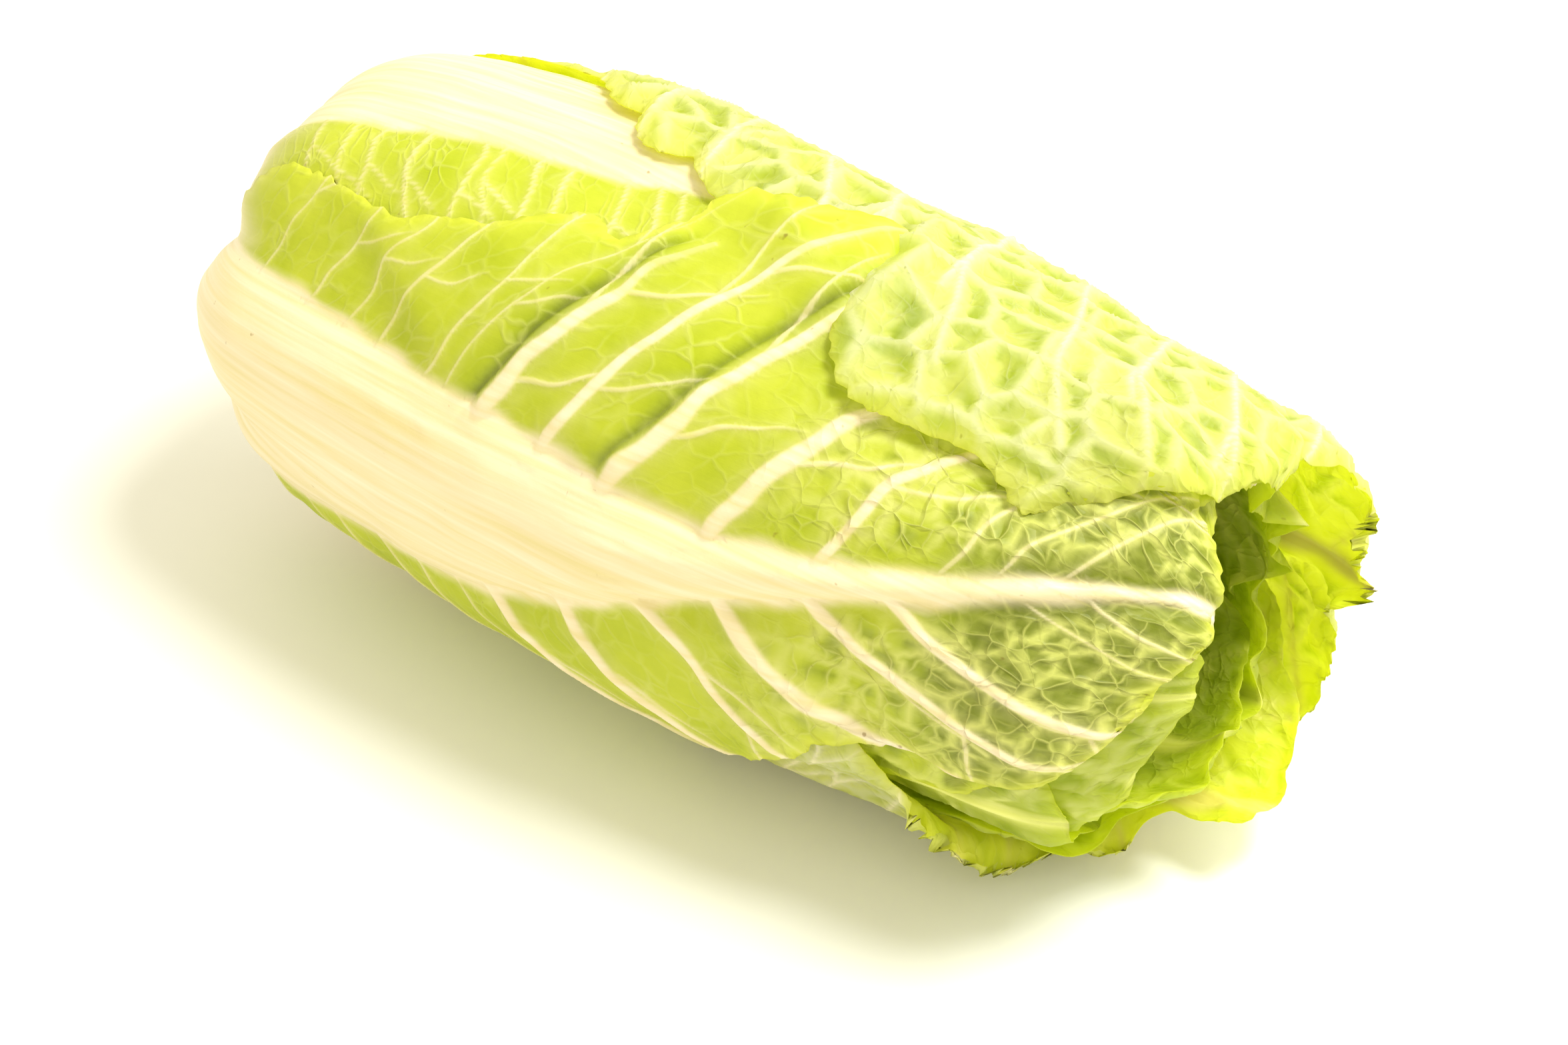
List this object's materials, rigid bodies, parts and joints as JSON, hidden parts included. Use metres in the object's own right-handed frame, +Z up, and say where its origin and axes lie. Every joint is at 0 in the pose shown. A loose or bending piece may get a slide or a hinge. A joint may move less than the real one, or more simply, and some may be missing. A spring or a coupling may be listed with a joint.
{
  "type": "napa cabbage",
  "caption": "Whole barrel-shaped napa cabbage head lying on its side, wrapping leaves with broad pale ribs and crinkled green blades, ruffled tips open at one end.",
  "frame": {"origin": "middle of the flat underside on which the head rests, below the head's long axis, about halfway along the head", "axes": "+X along the head from the cut butt to the leafy tip, +Z up; the broad front leaf faces -Y"},
  "size_m": [0.3118, 0.1526, 0.1491],
  "materials": {
    "leaf_outer": "fresh leaf, green to yellow-green blade with a cream white rib, slightly waxy",
    "leaf_inner": "paler leaf grown in half shade, slightly waxy",
    "leaf_heart": "blanched yellow heart leaf, matt",
    "stem": "cream white core, cut flat at the butt, moist and matt"
  },
  "bodies": {
    "root": {"outer_leaf_back": "leaf_outer", "outer_leaf_front": "leaf_outer", "outer_leaf_top": "leaf_outer", "outer_leaf_bottom": "leaf_outer", "outer_leaf_upper_front": "leaf_outer", "inner_leaf_low_back": "leaf_inner", "inner_leaf_low_front": "leaf_inner", "inner_leaf_high_back": "leaf_inner", "inner_leaf_front": "leaf_inner", "inner_leaf_under": "leaf_inner", "heart_leaf_1": "leaf_heart", "heart_leaf_2": "leaf_heart", "heart_leaf_3": "leaf_heart", "heart_leaf_4": "leaf_heart", "heart_leaf_5": "leaf_heart", "heart_leaf_6": "leaf_heart", "heart_leaf_7": "leaf_heart", "heart_leaf_8": "leaf_heart", "heart_bud": "leaf_heart", "stem": "stem"}
  },
  "joints": []
}
